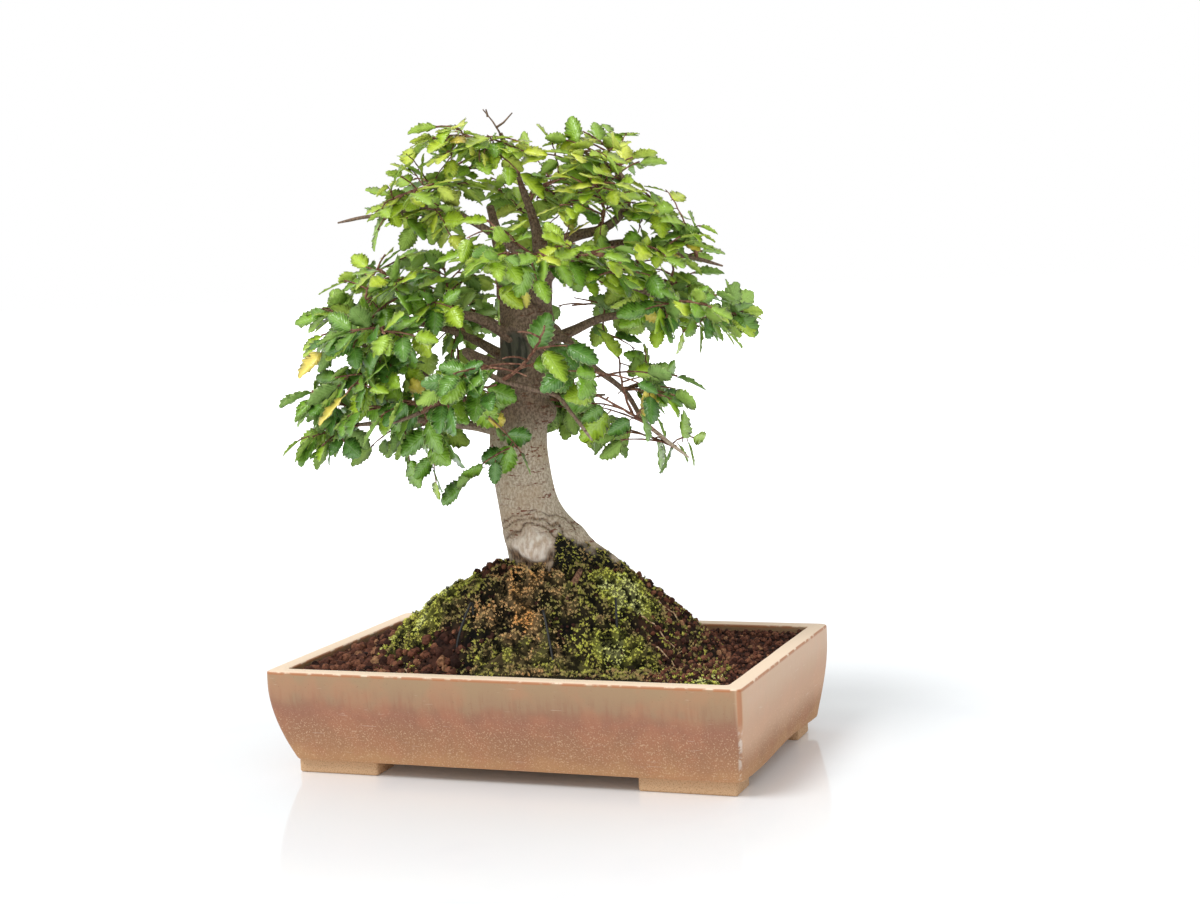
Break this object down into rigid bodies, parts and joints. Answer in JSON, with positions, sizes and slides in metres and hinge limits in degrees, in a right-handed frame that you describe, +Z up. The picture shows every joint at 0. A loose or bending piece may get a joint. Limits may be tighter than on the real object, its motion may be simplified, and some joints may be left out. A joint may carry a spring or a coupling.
{
  "type": "chinese elm bonsai in a pot",
  "caption": "Small broom-crowned Chinese elm with toothed leaves, growing on a mossy mound of soil in a low rectangular stoneware pot on block feet; it stands freely.",
  "frame": {"origin": "middle of the whole object's outline seen from above, on the surface that the feet stand on", "axes": "+X to the right along the pot's long side, +Y to the back of the pot, +Z up"},
  "size_m": [0.322, 0.2472, 0.4154],
  "materials": {
    "clay": "rough matt stoneware, partly brushed with a thin satin ash glaze",
    "soil": "crumbly baked clay granules, matt",
    "moss_green": "matt, short tufts",
    "moss_brown": "matt, short dry tufts",
    "moss_bright": "matt, short fresh tufts",
    "bark": "smooth grey-beige bark with fine cracks and brown pores",
    "leaf_green": "semi-gloss, veined",
    "leaf_young": "semi-gloss, veined, thin",
    "wire": "black anodised wire",
    "screen": "black mesh"
  },
  "bodies": {
    "root": {"pot": "clay", "drain_screen_left": "screen", "drain_screen_right": "screen", "tree": "bark", "wire_pin_1": "wire", "wire_pin_2": "wire", "wire_pin_3": "wire", "soil": "soil", "moss_left_ridge": "moss_green", "moss_crown": "moss_brown", "moss_centre": "moss_green", "moss_right_slope": "moss_bright", "moss_front_cushion": "moss_bright", "moss_rim_cushion": "moss_bright", "moss_back": "moss_green", "spray_01": "leaf_young", "spray_02": "leaf_green", "spray_03": "leaf_green", "spray_04": "leaf_young", "spray_05": "leaf_green", "spray_06": "leaf_green", "spray_07": "leaf_young", "spray_08": "leaf_green", "spray_09": "leaf_green", "spray_10": "leaf_young", "spray_11": "leaf_green", "spray_12": "leaf_green", "spray_13": "leaf_young", "spray_14": "leaf_green", "spray_15": "leaf_green", "spray_16": "leaf_young", "spray_17": "leaf_green", "spray_18": "leaf_green", "spray_19": "leaf_young", "spray_20": "leaf_green", "spray_21": "leaf_green", "spray_22": "leaf_young", "spray_23": "leaf_green", "spray_24": "leaf_green", "spray_25": "leaf_young", "spray_26": "leaf_green", "spray_27": "leaf_green", "spray_28": "leaf_young", "spray_29": "leaf_green", "spray_30": "leaf_green", "spray_31": "leaf_young", "spray_32": "leaf_green", "spray_33": "leaf_green", "spray_34": "leaf_young", "spray_35": "leaf_green", "spray_36": "leaf_green", "spray_37": "leaf_young", "spray_38": "leaf_green", "spray_39": "leaf_green", "spray_40": "leaf_young", "spray_41": "leaf_young", "spray_42": "leaf_young", "spray_43": "leaf_young", "spray_44": "leaf_young"}
  },
  "joints": []
}
